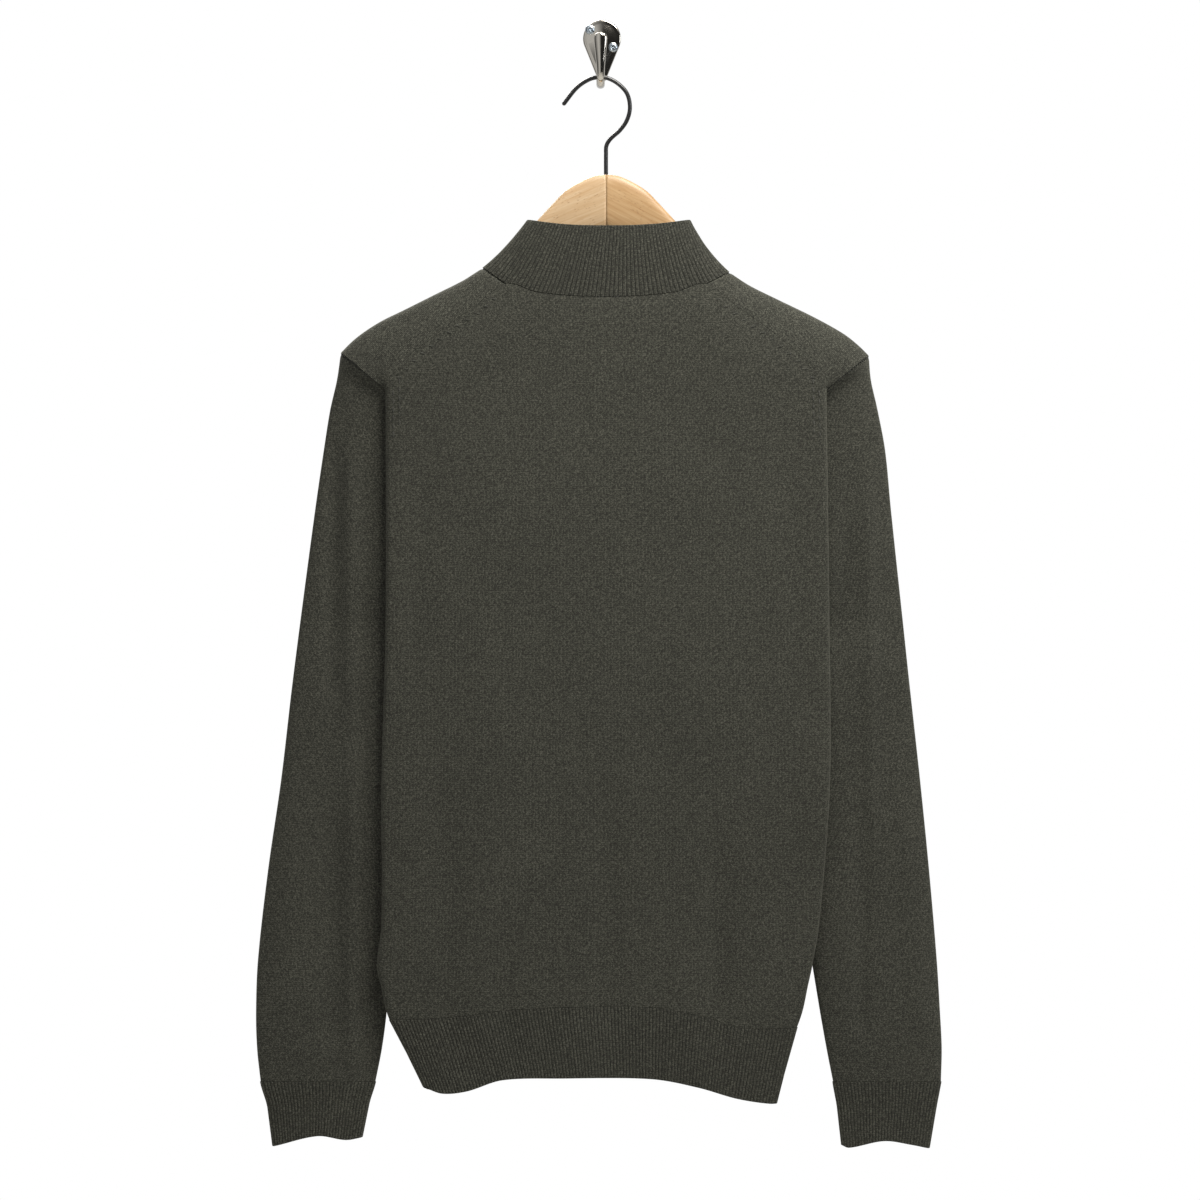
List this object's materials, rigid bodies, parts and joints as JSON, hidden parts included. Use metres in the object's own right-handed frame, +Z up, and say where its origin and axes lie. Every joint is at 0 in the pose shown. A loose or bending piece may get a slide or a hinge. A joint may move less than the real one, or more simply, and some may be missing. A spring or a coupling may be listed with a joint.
{
  "type": "quarter zip sweater on wooden hanger and wall hook",
  "caption": "Fine knit quarter zip sweater with stand collar, hanging with its back to the room on a beech hanger with a wire hook, on a screwed wall hook.",
  "frame": {"origin": "centre of the wall hook plate's round head, on the flat back face that lies on the wall", "axes": "+X to the right as the room sees it (across the garment's back), +Y into the wall, +Z up; the back panel faces -Y"},
  "size_m": [0.5843, 0.0559, 0.9666],
  "materials": {
    "knit": "fine wool jersey, melange, matt with a soft nap",
    "rib": "fine wool rib, melange, matt",
    "zip_tape": "woven tape, matt",
    "zip_metal": "dark nickel, satin",
    "beech": "steamed beech, clear satin lacquer",
    "black_wire": "black lacquered steel wire",
    "nickel": "polished nickel plate",
    "zinc": "bright zinc plate"
  },
  "bodies": {
    "root": {"back_panel": "knit", "front_panel": "knit", "sleeve_left": "knit", "sleeve_right": "knit", "collar": "rib", "hem_back": "rib", "hem_front": "rib", "cuff_left": "rib", "cuff_right": "rib", "zip_tape_left": "zip_tape", "zip_tape_right": "zip_tape", "zip_chain": "zip_metal", "zip_slider": "zip_metal", "hanger_arm_left": "beech", "hanger_arm_right": "beech", "hanger_hook": "black_wire", "wall_hook": "nickel", "wall_screw_upper": "zinc", "wall_screw_lower": "zinc"},
    "pull_tab": {"zip_pull": "zip_metal"}
  },
  "joints": [
    {"name": "pull_tab_swing", "type": "hinge", "parent": "root", "child": "pull_tab", "pos_m": [0.0034, -0.00435, -0.23243], "axis": [1, 0, 0], "range_deg": [0, 160]}
  ]
}
